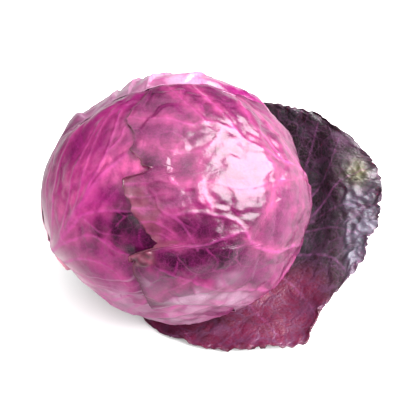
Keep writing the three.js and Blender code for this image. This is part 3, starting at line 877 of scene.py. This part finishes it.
for order, leaf in enumerate(wrappedLeaves):
    name = leaf["name"]
    grid = [max(12, int(n * quickShare)) for n in leaf["grid"]]
    slot = slotOf.get(name, "wrapped_leaf")
    shape = wrappedShape(leaf, order, veinsOf.get(name) or genericVeins(leaf), extraOf.get(name))
    sheetPiece(name, grid, shape, head["blade"], skins[slot])
print("wrapped leaves made")

# The loosened leaf

loose = {
    "thickness": 1.1,
    "grid": (246, 196),
    "net": [
        [(-67, 0, 34), (-68, 4, 33), (-69, 8, 32), (-69, 13, 33), (-68, 19, 36)],
        [(-50, -4, 15), (-50, 4, 12), (-51, 14, 11), (-56, 32, 18), (-60, 50, 36)],
        [(-30, -24, 4), (-31, -6, 3), (-32, 16, 2), (-36, 50, 12), (-40, 76, 42)],
        [(-8, -48, 2), (-9, -12, 1), (-7, 22, 1), (-8, 60, 10), (-4, 94, 52)],
        [(22, -61, 4), (20, -14, 1), (22, 26, 1), (28, 70, 10), (32, 107, 67)],
        [(54, -63, 5), (54, -14, 1), (60, 30, 3), (68, 76, 17), (66, 106, 71)],
        [(83, -60, 7), (82, -10, 4), (92, 40, 15), (96, 76, 34), (92, 100, 69)],
        [(92, -43, 10), (107, -2, 18), (113, 38, 32), (110, 70, 46), (108, 91, 64)],
        [(100, -28, 12), (126, 1, 27), (138, 30, 37), (139, 61, 47), (122, 82, 59)],
    ],
}
net = np.array(loose["net"], float)


def loosePoint(s, t):
    rows = np.array([throughValues(row, (t + 1) / 2) for row in net])  # rows, points, xyz
    last = len(net) - 1
    place = np.clip(s, 0, 1) * last
    i = np.minimum(last - 1, np.floor(place)).astype(int)
    f = (place - i)[:, None]
    k = np.arange(len(s))
    return between(*(rows[np.clip(i + j, 0, last), k] for j in (-1, 0, 1, 2)), f)


def looseVein(stops, wide, narrow):
    fine = finerLine(np.array(stops, float), 6 * len(stops))
    return loosePoint(fine[:, 0], fine[:, 1]), wide, narrow


looseLines = [  # stops along and across the leaf, then the two widths
    ([(0.02, 0), (0.3, 0), (0.6, 0.02), (0.8, 0.05), (0.97, 0.08)], 3.0, 1.0),
    ([(0.3, 0), (0.45, -0.25), (0.58, -0.5), (0.68, -0.85)], 1.8, 0.8),
    ([(0.42, 0), (0.58, -0.2), (0.72, -0.42), (0.82, -0.8)], 1.8, 0.8),
    ([(0.56, 0), (0.7, -0.16), (0.83, -0.34), (0.93, -0.6)], 1.8, 0.8),
    ([(0.68, 0.02), (0.8, -0.08), (0.9, -0.2), (0.98, -0.34)], 1.4, 0.7),
    ([(0.3, 0), (0.45, 0.25), (0.55, 0.55), (0.62, 0.9)], 1.8, 0.8),
    ([(0.45, 0), (0.6, 0.22), (0.7, 0.5), (0.78, 0.88)], 2.0, 0.8),
    ([(0.58, 0.02), (0.72, 0.24), (0.84, 0.48), (0.9, 0.84)], 2.0, 0.8),
    ([(0.7, 0.03), (0.82, 0.2), (0.92, 0.4), (0.98, 0.6)], 1.6, 0.7),
    ([(0.15, 0), (0.25, -0.3), (0.38, -0.65), (0.45, -0.92)], 1.6, 0.7),
]
looseVeins = [looseVein(*line) for line in looseLines]
looseSeeds = np.random.default_rng(8).uniform([-80, -70, -5], [150, 115, 80], (2600, 3))


crumpling = {  # the crumpled zone along the free rim, blue-grey with bloom and painted sheen, mm
    "from": 111,  # along X
    "bottom": -62,  # height in the picture, from the head's middle
    "top": 34,
    "deep": 1.3,
    "raised": 1.5,
    "greenAt": (124, 18),
}


def looseShape(s, t):
    teeth = 0.015 * np.sin(s * 61 + 2 * np.sin(s * 23)) + 0.011 * np.sin(s * 173 + 3 * np.sin(s * 37))
    tEdge = t * (1 + teeth * smoothStep((np.abs(t) - 0.8) / 0.2))
    teeth = 0.009 * np.sin(t * 27 + 2 * np.sin(t * 11)) + 0.008 * np.sin(t * 83 + 3 * np.sin(t * 19))
    sEdge = s * (1 + teeth)
    small = 0.004
    p = loosePoint(sEdge, tEdge)
    before = loosePoint(sEdge - small, tEdge)
    along = loosePoint(sEdge + small, tEdge) - before
    along[s > 0.995] = (p - before)[s > 0.995]
    across = loosePoint(sEdge, tEdge + small) - loosePoint(sEdge, tEdge - small)
    up = np.cross(along, across)
    up = up / np.maximum(np.linalg.norm(up, axis=1, keepdims=True), 1e-9)
    rim = np.maximum(smoothStep((np.abs(t) - 0.86) / 0.14), smoothStep((s - 0.93) / 0.07))
    grown = smoothStep((s - 0.15) / 0.2)
    height = (p[:, 1] + p[:, 2] - centre[2]) * 0.7071  # as seen from 45 degrees
    crumpled = smoothStep((p[:, 0] - crumpling["from"]) / 6)
    crumpled = crumpled * smoothStep((height - crumpling["bottom"]) / 16)
    crumpled = crumpled * smoothStep((crumpling["top"] - height) / 16)
    crushed = 1 - 1.6 * np.abs(ripple(p, 17, 31)) ** 0.8
    crushed = crushed + 0.6 * (1 - 1.6 * np.abs(ripple(p, 8, 34)) ** 0.8)
    ruffle = 1.6 * rim * grown * np.sin(12 * t + 31 * s) + 0.5 * rim * grown * ripple(p, 9, 32)
    ruffle = ruffle + crumpled * (crumpling["deep"] * crushed + crumpling["raised"])
    raised, drawn, nearest = veinField(p, looseVeins)
    border, facet, tone = cellsOn(p, looseSeeds, 1.5, 40, 0.04)
    quilt = 0.5 * (1 - bell(np.minimum(border * 1.5, nearest), 2.6)) * grown
    dents = 0.7 * ripple(p, 34, 33) * grown + np.clip(facet, -0.4, 0.6) * grown
    p = p + up * (ruffle + quilt + dents + 0.5 * raised)[:, None]
    away = p - centre
    reach = np.linalg.norm(away, axis=1)
    d = away / reach[:, None]
    clear = pileRadius(d, len(wrappedLeaves)) + 1.6
    p = centre + d * np.maximum(reach, clear)[:, None]
    p[:, 2] = np.maximum(p[:, 2], loose["thickness"] + 0.02)
    toRim = (1 - np.maximum(np.abs(t), (s - 0.4) / 0.6)) * 60
    # painted bounce light: pink low on the leaf, left of the crumpled zone, as light thrown back from the
    # head
    low = smoothStep((-38 - height) / 26)
    paintedBounce = low * smoothStep((112 - p[:, 0]) / 30)
    greenX, greenHeight = crumpling["greenAt"]
    greenish = np.exp(-(((p[:, 0] - greenX) / 8) ** 2) - ((height - greenHeight) / 8) ** 2)
    # waxy: grey-blue bloom with painted sheen where the crumpled rim catches the light, stronger lower down
    waxAndSheen = crumpled * (0.3 + 0.5 * smoothStep((12 - height) / 24)) * (1 + 0.5 * ripple(p, 12, 35))
    marks = {
        "vein": drawn,
        "cell": bell(border, 0.5) * grown,
        # base: painted bounce light, pink low on the leaf
        "base": paintedBounce * (0.85 + 0.25 * ripple(p, 18, 36)),
        # bloom: the waxy bloom and painted sheen of the crumpled rim, plus a random paler tone
        "bloomAndPaintedSheen": waxAndSheen + 0.12 * smoothStep((tone - 0.4) / 0.3) * (1 - low),
        "dry": 0.45 * greenish,
        # shade: painted shade on the part next to the head
        "toneAndPaintedShade": 0.8 * smoothStep((height - 2) / 40) * smoothStep((112 - p[:, 0]) / 14),
        "edge": 0.7 * bell(toRim, 0.6),
        # blush: more painted bounce light, pinker to the right
        "blushAndPaintedGlow": 0.6 * paintedBounce * smoothStep((p[:, 0] - 30) / 30) * (0.6 + 0.4 * tone),
        "thin": bell(toRim, 5),
    }
    return p, marks


grid = [int(n * quickShare) for n in loose["grid"]]
skin = skins["loose_leaf"]
sheetPiece("leaf_loose", grid, looseShape, loose["thickness"], skin, outwards=False)
print("loose leaf made")

stem = {
    "radius": 11.0,  # mm
    "from": 79.0,  # mm from the head's centre
    "to": 86.2,
    "bevel": 1.2,
    "rings": 5,
    "ringWidth": 1.9,
}
bpy.ops.object.select_all(action="DESELECT")
bpy.ops.mesh.primitive_cylinder_add(
    vertices=72, radius=stem["radius"] * mm, depth=(stem["to"] - stem["from"]) * mm, end_fill_type="NGON",
)
stemPiece = bpy.context.object
stemPiece.name = "stem_cut"
stemPiece.data.name = stemPiece.name
bpy.ops.object.mode_set(mode="EDIT")
bpy.ops.mesh.select_mode(type="FACE")
bpy.ops.mesh.select_all(action="DESELECT")
bpy.ops.object.mode_set(mode="OBJECT")
for face in stemPiece.data.polygons:
    face.select = face.normal.z > 0.9  # the cut end
bpy.ops.object.mode_set(mode="EDIT")
bpy.ops.mesh.inset(thickness=stem["bevel"] * mm)
bpy.ops.transform.translate(value=(0, 0, stem["bevel"] * 0.6 * mm))
for ring in range(stem["rings"]):
    bpy.ops.mesh.inset(thickness=stem["ringWidth"] * mm)
bpy.ops.mesh.select_all(action="SELECT")
bpy.ops.object.mode_set(mode="OBJECT")
applyModifier(stemPiece, "SUBSURF", {"levels": 2, "render_levels": 2})
stemMesh = stemPiece.data
flat = np.zeros(len(stemMesh.vertices) * 3)
stemMesh.vertices.foreach_get("co", flat)
flat = flat.reshape(-1, 3) / mm
fibres = 0.25 * ripple(flat * np.array([1, 1, 0.2]), 3.2, 91)
fibres = fibres + 0.5 * ripple(flat * np.array([1, 1, 0.1]), 11, 92)
fromAxis = np.hypot(flat[:, 0], flat[:, 1])
onTop = smoothStep(flat[:, 2] / 4)
flat[:, 2] += onTop * (0.35 * fibres - 0.6 * bell(fromAxis, 5))
flat[:, :2] *= (1 + 0.03 * fibres * (1 - onTop))[:, None]
stemMesh.vertices.foreach_set("co", (flat * mm).ravel())
fromAxis = np.hypot(flat[:, 0], flat[:, 1])
writeMark(stemPiece, "skin", smoothStep((fromAxis - stem["radius"] + 2.4) / 1.6))
turn = Vector((0, 0, 1)).rotation_difference(Vector(stemDirection)).to_matrix().to_4x4()
stemMiddle = centre + stemDirection * (stem["from"] + stem["to"]) / 2
stemMesh.transform(Matrix.Translation(Vector(stemMiddle * mm)) @ turn)
stemMesh.update()
selectOnly(stemPiece)
bpy.ops.object.shade_smooth()
stemMesh.materials.clear()
stemMesh.materials.append(cutStem("cut cabbage stem"))
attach(stemPiece, "root")
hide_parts("stem")
print("stem made")

# Carried-over pieces


def dress(node, material):
    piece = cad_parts[node]
    piece.data.materials.clear()
    piece.data.materials.append(material)


dress("inner_head", skins["inner_leaves"])

# Stage, lights and camera

stage = {
    "width": 4.0,  # metres
    "front": -0.36,
    "back": 2.4,
    "below": 0.0002,
    "colour": "#868586",  # as the leaves see it
    "seen": "#f4f4f4",  # as the camera sees it
    "world": "#ffffff",
    "horizon": 0.05,
    "ceiling": 2.8,
}
bpy.context.scene.view_settings.view_transform = "Standard"
bpy.ops.object.select_all(action="DESELECT")
bpy.ops.mesh.primitive_plane_add(size=1)
floor = bpy.context.object
depth = stage["back"] - stage["front"]
laidAt = Matrix.Translation((0, (stage["front"] + stage["back"]) / 2, -stage["below"]))
floor.data.transform(laidAt @ Matrix.Diagonal((stage["width"], depth, 1, 1)))
floor.name = "floor"
# Matt white table paper: soft shadows and no gloss, white to the camera and dimmer to the leaves
floorPaint = bpy.data.materials.new("matt white table")
floorPaint.use_nodes = True
paper = floorPaint.node_tree
paperSeen = addNode(paper, "ShaderNodeLightPath", output="Is Camera Ray")
settings = {"data_type": "RGBA", 6: linear(stage["colour"]), 7: linear(stage["seen"])}
paperColour = addNode(paper, "ShaderNodeMix", settings, {0: paperSeen}, 2)
paper.links.new(paperColour, paper.nodes["Principled BSDF"].inputs["Base Color"])
paper.nodes["Principled BSDF"].inputs["Roughness"].default_value = 0.7
floor.data.materials.append(floorPaint)

# Plain white to the camera, and a room with a bright ceiling to everything else
world = bpy.data.worlds.new("studio")
bpy.context.scene.world = world
world.use_nodes = True
sky = world.node_tree
skyWay = addNode(sky, "ShaderNodeTexCoord", output="Generated")
up = addNode(sky, "ShaderNodeSeparateXYZ", {}, {0: skyWay}, "Z")
settings = {"From Min": 0.35, "To Min": stage["horizon"], "To Max": stage["ceiling"]}
room = addNode(sky, "ShaderNodeMapRange", settings, {"Value": up})
seen = addNode(sky, "ShaderNodeLightPath", output="Is Camera Ray")
strength = addNode(sky, "ShaderNodeMix", {"B": 1.0}, {"Factor": seen, "A": room})
sky.links.new(strength, sky.nodes["Background"].inputs["Strength"])
sky.nodes["Background"].inputs["Color"].default_value = linear(stage["world"])


def softbox(name, direction, distance, size, power, glossy=True):
    data = bpy.data.lights.new(name, "AREA")
    data.shape = "RECTANGLE"
    data.size, data.size_y = size
    data.energy = power
    lamp = bpy.data.objects.new(name, data)
    bpy.context.scene.collection.objects.link(lamp)
    way = unit(direction)
    spot = centre * mm + way * distance
    lamp.location = spot
    lamp.visible_camera = False  # never in the picture itself
    lamp.visible_glossy = glossy
    lamp.rotation_euler = Vector(way).to_track_quat("Z", "Y").to_euler()
    return lamp


softbox("window_right", (0.80, -0.04, 0.59), 1.6, (2.2, 1.7), 190)
softbox("fill_left", (-0.8, -0.5, 0.2), 1.3, (1.6, 1.2), 12, glossy=False)
softbox("fill_low", (-0.45, -0.88, 0.06), 1.3, (1.8, 0.35), 24, glossy=False)

view = {
    "elevation": 45.0,
    "distance": 1.1,  # metres
    "frameWidth": 0.273,
    "sensor": 36,
    "rightOfHead": 22.1,  # mm from the head's middle to the middle of the picture
    "belowHead": 7.8,
}
lift = math.radians(view["elevation"])
imageRight = np.array([1.0, 0, 0])
imageUp = np.array([0, math.sin(lift), math.cos(lift)])
towardsCamera = np.array([0, -math.cos(lift), math.sin(lift)])
target = (centre + view["rightOfHead"] * imageRight - view["belowHead"] * imageUp) * mm
cameraData = bpy.data.cameras.new("camera")
cameraData.sensor_width = view["sensor"]
cameraData.lens = view["sensor"] * view["distance"] / view["frameWidth"]
camera = bpy.data.objects.new("camera", cameraData)
bpy.context.scene.collection.objects.link(camera)
camera.location = target + towardsCamera * view["distance"]
camera.rotation_euler = (math.radians(90 - view["elevation"]), 0, 0)
bpy.context.scene.camera = camera
print("stage, lights and camera set")
